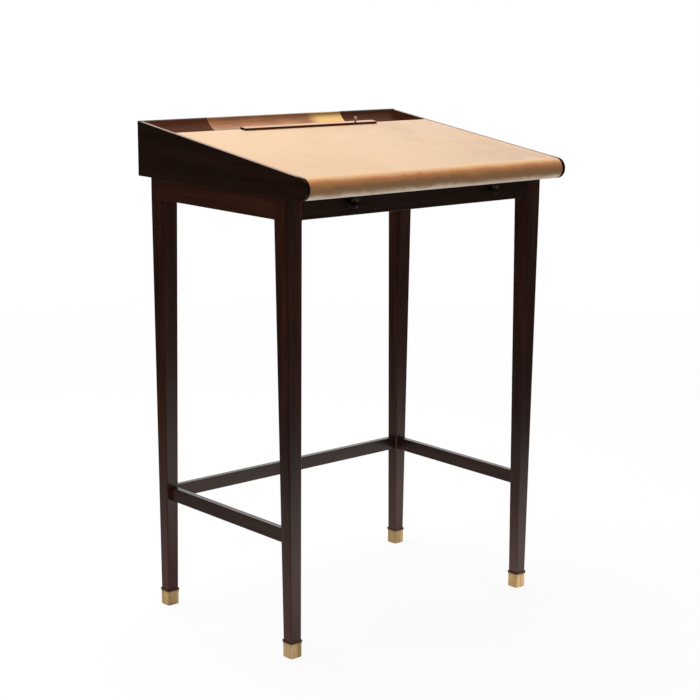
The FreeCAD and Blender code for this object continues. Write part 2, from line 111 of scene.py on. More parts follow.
class Board:
    """A node tree that is written as expressions."""

    def __init__(self, tree: bpy.types.NodeTree) -> None:
        """Start from an empty tree, a material's or the world's."""
        self.tree = tree
        tree.nodes.clear()

    def node(self, kind: str, settings: Optional[Mapping[str, object]] = None,
             inputs: Optional[Mapping[Key, Value]] = None, output: Key = 0) -> Wire:
        """Add one node.

        Args:
            kind: the node's type name.
            settings: its properties, set before its sockets.
            inputs: a number, a colour or a Wire for each socket named or numbered.
            output: the output socket that is wanted, by name or number.

        Returns:
            That output as a Wire.
        """
        made = self.tree.nodes.new(kind)
        for name, setting in (settings or {}).items():
            setattr(made, name, setting)
        for key, value in (inputs or {}).items():
            self.feed(made.inputs[key], value)
        return Wire(self, made.outputs[output])

    def outputs(self, kind: str, names: Sequence[str], inputs: Mapping[Key, Value]) -> List[Wire]:
        """Add a node and take several of its outputs.

        Args:
            kind: the node's type name.
            names: the outputs that are wanted.
            inputs: what its sockets are given.

        Returns:
            The outputs, in the order of their names.
        """
        first = self.node(kind, {}, inputs)
        return [Wire(self, first.socket.node.outputs[name]) for name in names]

    def close(self, kind: str, shader: Wire) -> None:
        """Feed a shader to the tree's output node."""
        end = self.tree.nodes.new(kind)
        self.feed(end.inputs["Surface"], shader)

    def feed(self, socket: bpy.types.NodeSocket, value: Value) -> None:
        """Link or set one input socket.

        Args:
            socket: the input.
            value: a Wire to link, or a number, vector or colour to set.
        """
        if isinstance(value, Wire):
            self.tree.links.new(value.socket, socket)
        elif socket.type == "RGBA":
            socket.default_value = (*value, 1.0)
        else:
            socket.default_value = value

    def reckon(self, way: Join, first: Value, second: Value) -> Wire:
        """Join two values with the node that suits what they are.

        Args:
            way: the arithmetic.
            first: its left side.
            second: its right side.

        Returns:
            The result as a Wire.
        """
        kinds = {value.socket.type for value in (first, second) if isinstance(value, Wire)}
        if "RGBA" in kinds:
            return self.mix(way, 1.0, first, second)
        kind = "ShaderNodeVectorMath" if "VECTOR" in kinds else "ShaderNodeMath"
        return self.node(kind, {"operation": way.value}, {0: first, 1: second})

    def mix(self, way: Join, share: Value, first: Value, second: Value) -> Wire:
        """Join two colours, which are sockets 6 and 7 of a Mix node and come out at 2.

        Args:
            way: how they are joined.
            share: how far, from 0 to 1.
            first: the first colour.
            second: the second colour.

        Returns:
            The joined colour.
        """
        return self.node("ShaderNodeMix", {"data_type": "RGBA", "blend_type": way.value},
                         {0: share, 6: first, 7: second}, 2)

    def blend(self, share: Value, first: Value, second: Value) -> Wire:
        """The first colour where share is 0, and the second where it is 1."""
        return self.mix(Join.BLEND, share, first, second)

    def ease(self, value: Value, low: float, high: float) -> Wire:
        """Rise smoothly from 0 where value is low to 1 where it is high."""
        return self.node("ShaderNodeMapRange", {"interpolation_type": "SMOOTHSTEP"},
                         {"Value": value, "From Min": low, "From Max": high})

    def ramp(self, value: Value, stops: Stops) -> Wire:
        """Colour that follows a value along the stops of a ramp.

        Args:
            value: the value, 0 to 1.
            stops: a value and its colour for each stop, lowest first.

        Returns:
            The colour.
        """
        made = self.node("ShaderNodeValToRGB", {}, {"Fac": value})
        elements = made.socket.node.color_ramp.elements
        while len(elements) < len(stops):
            elements.new(1.0)
        for element, (position, colour) in zip(elements, stops):
            element.position = position
            element.color = (*colour, 1.0)
        return made

    def place(self) -> Wire:
        """The point that is shaded, from the desk's origin."""
        return self.node("ShaderNodeTexCoord", output="Object")

    def axis(self, place: Wire, name: str) -> Wire:
        """One coordinate of a place: X, Y or Z."""
        return self.node("ShaderNodeSeparateXYZ", {}, {0: place}, name)

    def unsigned(self, value: Wire) -> Wire:
        """A value without its sign."""
        return self.node("ShaderNodeMath", {"operation": "ABSOLUTE"}, {0: value})

    def larger(self, first: Wire, second: Wire) -> Wire:
        """The larger of two values."""
        return self.node("ShaderNodeMath", {"operation": "MAXIMUM"}, {0: first, 1: second})

    def along(self, vector: Wire, direction: Value) -> Wire:
        """How far a vector reaches in a direction."""
        return self.node("ShaderNodeVectorMath", {"operation": "DOT_PRODUCT"},
                         {0: vector, 1: direction}, "Value")

    def upward(self) -> Wire:
        """How far the surface faces up, from 0 where it is upright to 1 where it is level."""
        return self.axis(self.node("ShaderNodeNewGeometry", output="True Normal"), "Z")

    def rays(self) -> List[Wire]:
        """Whether the ray comes from the eye, from something glossy or through something clear."""
        names = ("Is Camera Ray", "Is Glossy Ray", "Is Transmission Ray")
        return self.outputs("ShaderNodeLightPath", names, {})

    def worn_edge(self, radius: float, gain: float = 5.0) -> Wire:
        """Mask of the arrises, from 0 on the flats to 1 on a sharp edge.

        Args:
            radius: how far the wear reaches.
            gain: how quickly it grows as the edge turns.

        Returns:
            The mask.
        """
        rounded = self.node("ShaderNodeBevel", {"samples": 4}, {"Radius": radius})
        true = self.node("ShaderNodeNewGeometry", output="Normal")
        turned = 1.0 - self.along(rounded, true)
        return self.node("ShaderNodeClamp", {}, {"Value": turned * gain})

    def relief(self, height: Value, strength: float, depth: float) -> Wire:
        """Bumped normal.

        Args:
            height: the height pattern, 0 to 1.
            strength: how strongly it shows.
            depth: the real depth that a height of 1 stands for.

        Returns:
            The normal.
        """
        return self.node("ShaderNodeBump", {},
                         {"Strength": strength, "Distance": depth, "Height": height})

    def principled(self, varying: Mapping[str, Value], fixed: Mapping[str, Value]) -> Wire:
        """The shader that ends a finish.

        Args:
            varying: patterns, by socket.
            fixed: plain numbers and colours, by socket.

        Returns:
            The shader.
        """
        return self.node("ShaderNodeBsdfPrincipled", {}, {**fixed, **varying}, "BSDF")

    def matt(self, grey: float) -> Wire:
        """Matt grey shader."""
        return self.node("ShaderNodeBsdfDiffuse", {}, {"Color": (grey, grey, grey)})

    def light(self, strength: Value) -> Wire:
        """White shader that shines by itself."""
        return self.node("ShaderNodeEmission", {}, {"Color": WHITE, "Strength": strength})

    def choose(self, share: Wire, first: Wire, second: Wire) -> Wire:
        """The first shader where share is 0, and the second where it is 1."""
        return self.node("ShaderNodeMixShader", {}, {0: share, 1: first, 2: second})


# ---------------------------------------------------------------- patterns


class Grain(Enum):
    """The way that fibres or drawing lines run, by the number of the axis."""

    ACROSS = 0
    DEEP = 1
    UPRIGHT = 2

    def squeezed(self, place: Wire, squeeze: float) -> Wire:
        """Squeeze a place along the grain, so that noise read there turns into streaks.

        Args:
            place: the place.
            squeeze: the share of its length along the grain that is kept.

        Returns:
            The squeezed place.
        """
        factors = [1.0, 1.0, 1.0]
        factors[self.value] = squeeze
        return place * tuple(factors)


@dataclass(frozen=True)
class Cloud:
    """Soft noise, about 0.5 on average, with its cells per metre and its squeeze along a grain."""

    cells: float
    octaves: float = 3.0
    fineness: float = 0.55
    swirl: float = 0.0
    squeeze: float = 1.0

    def read(self, board: Board, place: Wire, grain: Optional[Grain] = None,
             output: str = "Fac") -> Wire:
        """Read the noise.

        Args:
            board: the board that it is written on.
            place: where it is read.
            grain: the way that it is drawn out, if any.
            output: "Fac" for a value, or "Color" for three.

        Returns:
            The noise.
        """
        if grain is not None:
            place = grain.squeezed(place, self.squeeze)
        return board.node("ShaderNodeTexNoise", {},
                          {"Vector": place, "Scale": self.cells, "Detail": self.octaves,
                           "Roughness": self.fineness, "Distortion": self.swirl}, output)


@dataclass(frozen=True)
class Onset:
    """Stretch of one axis over which a polish or a mark comes in."""

    axis: str
    low: float
    high: float

    def mask(self, board: Board, place: Wire) -> Wire:
        """0 before the stretch, and 1 past it."""
        return board.ease(board.axis(place, self.axis), self.low, self.high)


@dataclass(frozen=True)
class Glow:
    """Light that grows in one direction, between two reaches in it."""

    direction: Place
    low: float
    high: float
    strength: float

    def shine(self, board: Board, vector: Wire) -> Wire:
        """Its light for a vector."""
        return board.ease(board.along(vector, self.direction), self.low, self.high) * self.strength


# ---------------------------------------------------------------- finishes


class Finish:
    """A surface that can be put on a piece; each kind fills in paint()."""

    title: str

    def paint(self, board: Board) -> Wire:
        """Write the nodes on an empty board and return the shader."""
        raise NotImplementedError

    def material(self) -> bpy.types.Material:
        """The Blender material, made once for each title.

        Returns:
            The material.
        """
        known = bpy.data.materials.get(self.title)
        if known is not None:
            return known
        made = bpy.data.materials.new(self.title)
        made.use_nodes = True
        board = Board(made.node_tree)
        board.close("ShaderNodeOutputMaterial", self.paint(board))
        return made


@dataclass(frozen=True)
class Timber(Finish):
    """Wood with figure, fine grain, open pores, handling marks and rubbed arrises.

    The figure runs from deep to ruddy. The polish and a paler top, a painted highlight on the faces
    that look up, come in over polish_onset. Nearer the desk's middle than inside_x the wood has the
    two colours of inside, and towards the foot it is painted lighter and redder, painted bounce light
    from the floor.
    """

    title: str
    grain: Grain
    deep: Colour
    ruddy: Colour
    pore: Colour
    rubbed: Colour
    sheen_roughness: float = 0.34
    sheen_level: float = 0.3
    sheen_tint: Colour = (1.0, 0.86, 0.78)
    lustre: float = 0.0
    polish: float = 0.35
    polish_roughness: float = 0.16
    polish_onset: Optional[Onset] = None
    # Paler colour and full metallic lustre for faces that look up: a painted highlight.
    painted_top_highlight: Optional[Colour] = None
    # Lighter, redder colour towards the foot: painted bounce light from the floor.
    floor_bounce_paint: Optional[Colour] = None
    floor_bounce_share: float = 0.6
    floor_bounce_end: Onset = Onset("Z", 0.02, 0.42)
    inside: Optional[Tuple[Colour, Colour]] = None
    inside_x: float = PANEL_FACE_X + 0.0001
    inside_fade: float = 0.0004
    sway: Cloud = Cloud(14.0, 2.0, 0.5, squeeze=0.12)
    sway_reach: float = 0.012
    figure: Cloud = Cloud(42.0, 4.0, 0.6, 0.4, squeeze=0.045)
    lines: Cloud = Cloud(330.0, 5.0, 0.65, squeeze=0.0225)
    pores: Cloud = Cloud(1500.0, 2.0, 0.5, squeeze=0.072)
    pore_share: float = 0.55
    patches: Cloud = Cloud(3.4, 2.0)
    patchiness: float = 0.25
    rubs: Cloud = Cloud(55.0, 4.0)
    rub_reach: float = 0.0016
    rub_share: float = 0.45
    smudges: Cloud = Cloud(11.0, 4.0, 0.6)
    relief_strength: float = 0.5
    relief_depth: float = 0.00012

    def stained(self, board: Board, place: Wire, glow: Wire) -> Wire:
        """Colour of the clean wood.

        Args:
            board: the material's board.
            place: the point that is shaded.
            glow: how ruddy the figure is there.

        Returns:
            The colour, with the plain inside and the painted bounce light at the foot where the wood
            has them.
        """
        body = board.blend(glow, self.deep, self.ruddy)
        if self.inside:
            reach = board.unsigned(board.axis(place, "X"))
            within = 1.0 - board.ease(reach, self.inside_x, self.inside_x + self.inside_fade)
            body = board.blend(within, body, board.blend(glow, *self.inside))
        # Painted bounce light: towards the foot the wood is painted lighter and redder, for light from
        # the floor.
        if self.floor_bounce_paint:
            low = 1.0 - self.floor_bounce_end.mask(board, place)
            body = board.blend(low * self.floor_bounce_share, body, self.floor_bounce_paint)
        return body

    def paint(self, board: Board) -> Wire:
        """Write the nodes.

        Args:
            board: the material's empty board.

        Returns:
            The shader.
        """
        place = board.place()
        drift = self.sway.read(board, place, self.grain, "Color")
        swayed = place + (drift - MID_GREY) * (self.sway_reach, self.sway_reach, self.sway_reach)
        lines = self.lines.read(board, swayed, self.grain)
        figure = self.figure.read(board, swayed, self.grain) * 0.62 + lines * 0.38
        patches = (self.patches.read(board, place) - 0.5) * self.patchiness
        body = self.stained(board, place, board.ease(figure + patches, 0.36, 0.68))

        shown: Value = self.polish_onset.mask(board, place) if self.polish_onset else 1.0
        lustre: Value = self.lustre
        # Painted highlight: faces that look up are painted paler and made fully metallic, standing in
        # for the polish's highlight on the tops.
        if self.painted_top_highlight:
            top = board.ease(board.upward(), 0.6, 0.9) * shown
            body = board.blend(top, body, self.painted_top_highlight)
            lustre = top * (1.0 - self.lustre) + self.lustre

        pits = board.ease(self.pores.read(board, swayed, self.grain), 0.58, 0.72)
        pitted = board.blend(pits * self.pore_share, body, self.pore)
        wear = board.worn_edge(self.rub_reach) * board.ease(self.rubs.read(board, place), 0.38, 0.62)
        colour = board.blend(wear * self.rub_share, pitted, self.rubbed)
        smudges = self.smudges.read(board, place)
        roughness = self.sheen_roughness - 0.05 + lines * 0.07 + smudges * 0.06 + wear * 0.08
        relief = board.relief(lines * 0.6 - pits * 0.7, self.relief_strength, self.relief_depth)
        return board.principled(
            {"Base Color": colour, "Roughness": roughness, "Coat Weight": shown * self.polish,
             "Metallic": lustre, "Normal": relief},
            {"Specular IOR Level": self.sheen_level, "Specular Tint": self.sheen_tint,
             "Coat Roughness": self.polish_roughness})


@dataclass(frozen=True)
class TanHide(Finish):
    """Natural calf: pale and mottled on the slope, browned by hands over the roll, where painted shade
    darkens it as the roll turns down and painted bounce light makes its underside pale.

    Its patterns lie on the hide's flat map, across the desk and down the hide from its back edge.
    """

    title: str
    slope_length: float
    roll_length: float
    mottled: Stops = ((0.30, (0.80, 0.53, 0.325)), (0.47, (0.855, 0.594, 0.378)),
                      (0.60, (0.87, 0.62, 0.412)), (0.75, (0.85, 0.58, 0.40)))
    # Over the roll: browning by handling, with painted shade in the darkest stops where the roll faces
    # forward and down, and painted bounce light in the pale last stops on the underside.
    browned: Stops = ((0.0, (0.87, 0.60, 0.37)), (0.052, (0.90, 0.585, 0.325)),
                      (0.15, (0.95, 0.575, 0.295)), (0.216, (0.95, 0.50, 0.225)),
                      (0.286, (0.90, 0.395, 0.155)), (0.362, (0.825, 0.353, 0.137)),
                      (0.442, (0.735, 0.334, 0.138)), (0.523, (0.585, 0.276, 0.118)),
                      (0.603, (0.475, 0.25, 0.113)), (0.679, (0.438, 0.244, 0.12)),
                      (0.754, (0.44, 0.272, 0.15)), (0.822, (0.62, 0.43, 0.277)),
                      (0.881, (0.80, 0.62, 0.45)), (0.95, (0.90, 0.79, 0.67)))
    vein: Colour = (0.80, 0.45, 0.30)
    vein_share: float = 0.34
    speck: Colour = (0.72, 0.46, 0.28)
    speck_share: float = 0.10
    blot: Colour = (0.26, 0.12, 0.05)
    blot_share: float = 0.22
    rim: Colour = (0.74, 0.46, 0.26)
    rim_share: float = 0.14
    # Painted light and shade across the slope: lighter on the left, darker and cooler on the right.
    left_painted_light: Colour = (0.96, 0.945, 0.92)
    right_painted_shade: Colour = (0.885, 0.92, 0.975)
    clean_cast: Colour = (1.01, 1.01, 1.01)
    greyed_cast: Colour = (0.93, 0.90, 0.915)
    large: Cloud = Cloud(5.0, 4.0, 0.5, 0.6)
    middling: Cloud = Cloud(26.0, 5.0, 0.6, 0.3)
    fine: Cloud = Cloud(240.0, 4.0, 0.6)
    veins: Cloud = Cloud(16.0, 5.0, 0.7, 1.2, squeeze=2.6)
    drifts: Cloud = Cloud(8.0, 4.0, 0.6, 0.9, squeeze=0.5)
    ragged: Cloud = Cloud(18.0, 5.0, 0.65, 0.5, squeeze=1.8)
    blots: Cloud = Cloud(34.0, 4.0, 0.7, squeeze=2.0)
    ragged_reach: float = 0.022
    pebbles: float = 620.0
    roughness: float = 0.50
    sheen_level: float = 0.12
    relief_strength: float = 0.28
    relief_depth: float = 0.00025

    def slope_colour(self, board: Board, place: Wire, across: Wire, middling: Wire, fine: Wire) -> Wire:
        """Colour of the hide on the slope.

        Args:
            board: the material's board.
            place: the point on the hide's flat map.
            across: how far it is to the right of the middle.
            middling: the middle mottling there.
            fine: the finest mottling there.

        Returns:
            The colour.
        """
        mottling = self.large.read(board, place) * 0.6 + middling * 0.4
        veins = board.ease(self.veins.read(board, place, Grain.DEEP), 0.60, 0.74)
        body = board.blend(veins * self.vein_share, board.ramp(mottling, self.mottled), self.vein)
        body = board.blend(board.ease(fine, 0.42, 0.66) * self.speck_share, body, self.speck)
        # Painted light and shade across the slope: the left is kept lighter and the right painted
        # darker and cooler.
        body = body * board.blend(board.ease(across, -0.30, 0.40), self.left_painted_light, self.right_painted_shade)
        drifts = board.ease(self.drifts.read(board, place, Grain.DEEP), 0.40, 0.60)
        greyed = drifts * board.ease(across, 0.0, 0.24)
        body = body * board.blend(greyed, self.clean_cast, self.greyed_cast)
        rim = board.ease(board.unsigned(across), 0.335, 0.368)
        return board.blend(rim * self.rim_share, body, self.rim)

    def paint(self, board: Board) -> Wire:
        """Write the nodes.

        Args:
            board: the material's empty board.

        Returns:
            The shader.
        """
        place = board.node("ShaderNodeUVMap", {"uv_map": HIDE_MAP}, output="UV")
        across, down = board.outputs("ShaderNodeSeparateXYZ", ("X", "Y"), {0: place})
        middling = self.middling.read(board, place)
        fine = self.fine.read(board, place)
        ragged = (self.ragged.read(board, place, Grain.DEEP) - 0.5) * self.ragged_reach
        turn = (down + ragged - self.slope_length) / self.roll_length
        slope = self.slope_colour(board, place, across, middling, fine)
        # The roll's ramp paints shade where the roll turns down and paints light on its underside, over
        # the handling's browning.
        roll = board.ramp(board.ease(turn, -0.16, 1.0), self.browned)
        colour = board.blend(board.ease(turn, -0.22, 0.12), slope, roll)
        blots = board.ease(self.blots.read(board, place, Grain.DEEP), 0.55, 0.72)
        on_roll = board.ease(turn, 0.0, 0.25) * (1.0 - board.ease(turn, 0.6, 0.9))
        colour = board.blend(blots * on_roll * self.blot_share, colour, self.blot)

        cells = board.node("ShaderNodeTexVoronoi", {},
                           {"Vector": place, "Scale": self.pebbles}, "Distance")
        roughness = self.roughness + (middling - 0.5) * 0.14 - on_roll * 0.10
        relief = board.relief(cells * 0.5 + fine * 0.5, self.relief_strength, self.relief_depth)
        return board.principled({"Base Color": colour, "Roughness": roughness, "Normal": relief},
                                {"Specular IOR Level": self.sheen_level})


@dataclass(frozen=True)
class OldBrass(Finish):
    """Unlacquered brass that has browned in the open and stayed bright where it is touched.

    The browned skin has shadowed smears, and where it faces up it is painted paler and greyer as a
    painted reflection. Over the stretch of the highlight a share of it is kept bright, a painted
    highlight.
    """

    title: str
    bright: Colour
    browned: Colour
    tarnish: float
    roughness: float
    solidity: float
    drawn: Optional[Grain] = None
    shadowed: Optional[Colour] = None
    # Paler, greyer colour for faces that look up: a painted reflection.
    upward_reflection_paint: Optional[Colour] = None
    upward_reflection_share: float = 0.6
    edge: Colour = (0.92, 0.74, 0.44)
    edge_reach: float = 0.0008
    edge_share: float = 0.6
    # Stretch where the brass is kept bright: a painted highlight.
    highlight_patch: Optional[Onset] = None
    highlight_share: float = 0.8
    highlight_wobble: Cloud = Cloud(30.0, 3.0)
    highlight_wobble_reach: float = 0.02
    blooms: Cloud = Cloud(60.0, 5.0, 0.65, 0.5, squeeze=0.05)
    scratches: Cloud = Cloud(900.0, 4.0, 0.7, squeeze=0.05)
    smears: Cloud = Cloud(150.0, 4.0, 0.65, 0.3, squeeze=0.05)
    clouding: Cloud = Cloud(11.0, 3.0)
    sheen_level: float = 0.2
    relief_strength: float = 0.22
    relief_depth: float = 0.00006

    def tarnished(self, board: Board, place: Wire, marks: Wire) -> Wire:
        """How far the brass has browned.

        Args:
            board: the material's board.
            place: the point that is shaded.
            marks: the pattern that the browning follows.

        Returns:
            The browning, 0 to 1, less the stretch that is kept bright as a painted highlight.
        """
        dull = board.ease(marks + (self.tarnish - 0.5), 0.32, 0.68)
        # Painted highlight: over this stretch the brass is kept bright and metallic.
        if self.highlight_patch:
            wobble = (self.highlight_wobble.read(board, place) - 0.5) * self.highlight_wobble_reach
            along = board.axis(place, self.highlight_patch.axis) + wobble
            dull = dull * (1.0 - board.ease(along, self.highlight_patch.low, self.highlight_patch.high) * self.highlight_share)
        return dull

    def paint(self, board: Board) -> Wire:
        """Write the nodes.

        Args:
            board: the material's empty board.

        Returns:
            The shader.
        """
        place = board.place()
        blooms = self.blooms.read(board, place, self.drawn)
        scratches = self.scratches.read(board, place, self.drawn)
        dull = self.tarnished(board, place, blooms + (scratches - 0.5) * 0.25)
        skin: Value = self.browned
        if self.shadowed:
            smears = self.smears.read(board, place, self.drawn) * 0.6
            smears = smears + self.clouding.read(board, place) * 0.4
            skin = board.blend(board.ease(smears, 0.40, 0.62), self.shadowed, self.browned)
        colour = board.blend(dull, self.bright, skin)
        # Painted reflection: where browned, faces that look up are painted paler and greyer.
        if self.upward_reflection_paint:
            level = board.ease(board.upward(), 0.80, 0.93)
            colour = board.blend(level * dull * self.upward_reflection_share, colour, self.upward_reflection_paint)
        colour = board.blend(board.worn_edge(self.edge_reach) * self.edge_share, colour, self.edge)
        roughness = self.roughness + dull * 0.14 + (scratches - 0.5) * 0.12
        relief = board.relief(scratches * 0.7 + blooms * 0.3, self.relief_strength, self.relief_depth)
        return board.principled({"Base Color": colour, "Roughness": roughness, "Normal": relief,
                                 "Metallic": 1.0 - dull * (1.0 - self.solidity)},
                                {"Specular IOR Level": self.sheen_level})


@dataclass(frozen=True)
class ScrewSteel(Finish):
    """Plain steel with turning marks and a grey skin."""

    title: str
    dark: Colour = (0.42, 0.42, 0.43)
    pale: Colour = (0.62, 0.61, 0.60)
    skin: Cloud = Cloud(300.0, 4.0, 0.6)
    roughness: float = 0.28
    relief_strength: float = 0.2
    relief_depth: float = 0.00005

    def paint(self, board: Board) -> Wire:
        """Write the nodes.

        Args:
            board: the material's empty board.

        Returns:
            The shader.
        """
        skin = self.skin.read(board, board.place())
        colour = board.blend(skin, self.dark, self.pale)
        relief = board.relief(skin, self.relief_strength, self.relief_depth)
        roughness = self.roughness + skin * 0.2
        return board.principled({"Base Color": colour, "Roughness": roughness, "Normal": relief},
                                {"Metallic": 1.0})


class Tone(Enum):
    """How the same polished mahogany has come out on different parts of the desk. The front tone is a
    darker copy that paints the shade under the nose, and the leg tone paints bounce light from the
    floor at the foot.
    """

    FRAME = "frame"
    LEG = "leg"
    # Darker copy for the front under the nose: painted shade.
    FRONT = "front"
    CASE = "case"
    REAR = "rear"
    TRAY = "tray"


def mahogany(tone: Tone, grain: Grain) -> Timber:
    """French-polished mahogany, nearly black on the case and redder in the tray.

    Args:
        tone: where on the desk it is.
        grain: the way its fibres run.

    Returns:
        The finish.
    """
    title = f"mahogany_{tone.value}_{grain.name.lower()}"
    frame_wood = Timber(title, grain, deep=(0.020, 0.0060, 0.0030), ruddy=(0.068, 0.0175, 0.0075),
                        pore=(0.007, 0.003, 0.002), rubbed=(0.14, 0.05, 0.024))
    case_back = Timber(title, grain, deep=(0.013, 0.0058, 0.0036), ruddy=(0.027, 0.0108, 0.0062),
                       pore=(0.005, 0.0028, 0.002), rubbed=(0.04, 0.02, 0.014),
                       sheen_level=0.04, polish=0.0)
    tones = {
        Tone.FRAME: frame_wood,
        # Legs: painted bounce light from the floor, lighter and redder towards the foot.
        Tone.LEG: replace(frame_wood, floor_bounce_paint=(0.112, 0.038, 0.024)),
        # Drawer front and rail: a darker copy of the frame wood, painted shade under the overhanging
        # nose.
        Tone.FRONT: replace(frame_wood, deep=(0.012, 0.0052, 0.0022), ruddy=(0.028, 0.0108, 0.0046),
                            pore=(0.005, 0.0028, 0.002), rubbed=(0.05, 0.024, 0.013), polish=0.15),
        Tone.REAR: case_back,
        Tone.CASE: replace(case_back, rubbed=(0.15, 0.075, 0.045), sheen_level=0.05, polish=0.4,
                           polish_onset=Onset("Y", NOSE_Y + 0.004, NOSE_Y + 0.024),
                           # The sides' upward faces take a painted highlight, paler and metallic.
                           painted_top_highlight=(0.50, 0.30, 0.22),
                           inside=((0.07, 0.022, 0.010), (0.15, 0.05, 0.022))),
        Tone.TRAY: replace(frame_wood, deep=(0.075, 0.018, 0.006), ruddy=(0.145, 0.040, 0.013),
                           pore=(0.03, 0.009, 0.004), rubbed=(0.20, 0.075, 0.035),
                           sheen_roughness=0.42, sheen_level=0.1, polish=0.0),
    }
    return tones[tone]


def lining_wood(grain: Grain) -> Timber:
    """Unpolished wood of the drawer and of the parts behind the show wood.

    Args:
        grain: the way its fibres run.

    Returns:
        The finish.
    """
    return Timber(f"lining_wood_{grain.name.lower()}", grain, deep=(0.21, 0.115, 0.055),
                  ruddy=(0.36, 0.215, 0.115), pore=(0.10, 0.05, 0.025), rubbed=(0.40, 0.25, 0.14),
                  sheen_roughness=0.58, polish=0.0, polish_roughness=0.3, relief_depth=0.0002)


def knob_wood() -> Timber:
    """Close-grained wood of the turned knobs, nearly black and with its gloss on the upper half.

    Returns:
        The finish.
    """
    return Timber("knob_wood", Grain.DEEP, deep=(0.006, 0.0036, 0.0028), ruddy=(0.012, 0.0062, 0.0042),
                  pore=(0.004, 0.0026, 0.002), rubbed=(0.02, 0.011, 0.008), sheen_roughness=0.3,
                  sheen_level=0.05, polish=0.85, polish_roughness=0.1, relief_depth=0.00004,
                  polish_onset=Onset("Z", KNOB_Z - 0.002, KNOB_Z + 0.004))


def bar_wood() -> Timber:
    """Smooth, high-polished dark wood of the page bar, whose top face is painted pale and metallic as a
    painted highlight.

    Returns:
        The finish.
    """
    return Timber("bar_wood", Grain.ACROSS, deep=(0.050, 0.013, 0.003), ruddy=(0.088, 0.027, 0.008),
                  pore=(0.03, 0.009, 0.002), rubbed=(0.34, 0.17, 0.09), sheen_roughness=0.04,
                  sheen_tint=(1.0, 0.84, 0.72), polish=0.0, lustre=1.0, relief_depth=0.00001,
                  painted_top_highlight=(0.42, 0.24, 0.16))


def dress(finish: Finish, names: Iterable[str]) -> None:
    """Put a finish on CAD nodes.

    Args:
        finish: the finish.
        names: the nodes that take it.
    """
    made = finish.material()
    for name in names:
        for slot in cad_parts[name].material_slots:
            slot.material = made
        report.info("%-22s %s", name, finish.title)


def pair(stem: str) -> List[str]:
    """Names of a left and right pair."""
    return [f"{stem}_left", f"{stem}_right"]


# ---------------------------------------------------------------- the desk's sub-assemblies


@dataclass
class LegFrame:
    """Legs, aprons, drawer rail, stretchers and the brass sabots."""

    sabot_edge_reach: float = 0.0035

    def corners(self, stem: str) -> List[str]:
        """Names of the four pieces that share a stem."""
        return pair(f"{stem}_front") + pair(f"{stem}_back")

    def dress(self) -> None:
        """Polish the wood and age the brass feet."""
        dress(mahogany(Tone.LEG, Grain.UPRIGHT), self.corners("leg"))
        dress(mahogany(Tone.FRAME, Grain.DEEP), pair("apron") + pair("stretcher"))
        dress(mahogany(Tone.FRAME, Grain.ACROSS), ["apron_back", "stretcher_back"])
        # The rail takes the darker front tone: painted shade under the nose.
        dress(mahogany(Tone.FRONT, Grain.ACROSS), ["drawer_rail"])
        dress(OldBrass("brass_sabot", bright=(0.93, 0.67, 0.37), browned=(0.96, 0.66, 0.27),
                       shadowed=(0.58, 0.36, 0.15), edge=(0.28, 0.17, 0.07), drawn=Grain.UPRIGHT,
                       tarnish=0.58, roughness=0.28, solidity=0.28, edge_reach=self.sabot_edge_reach),
              self.corners("sabot"))
        dress(ScrewSteel("turned_steel"), ["case_screws"])


@dataclass
class CaseShell:
    """Sides, back and bottom of the wedge case, with the bearers inside it."""

    def dress(self) -> None:
        """Polish the outside nearly black and leave the inside plain."""
        dress(mahogany(Tone.CASE, Grain.DEEP), pair("case_side"))
        dress(mahogany(Tone.CASE, Grain.ACROSS), ["writing_panel", "nose_rail"])
        dress(mahogany(Tone.REAR, Grain.ACROSS), ["case_back"])
        dress(lining_wood(Grain.ACROSS), ["case_bottom", "cross_bearer"])
        dress(lining_wood(Grain.DEEP), pair("ledger"))


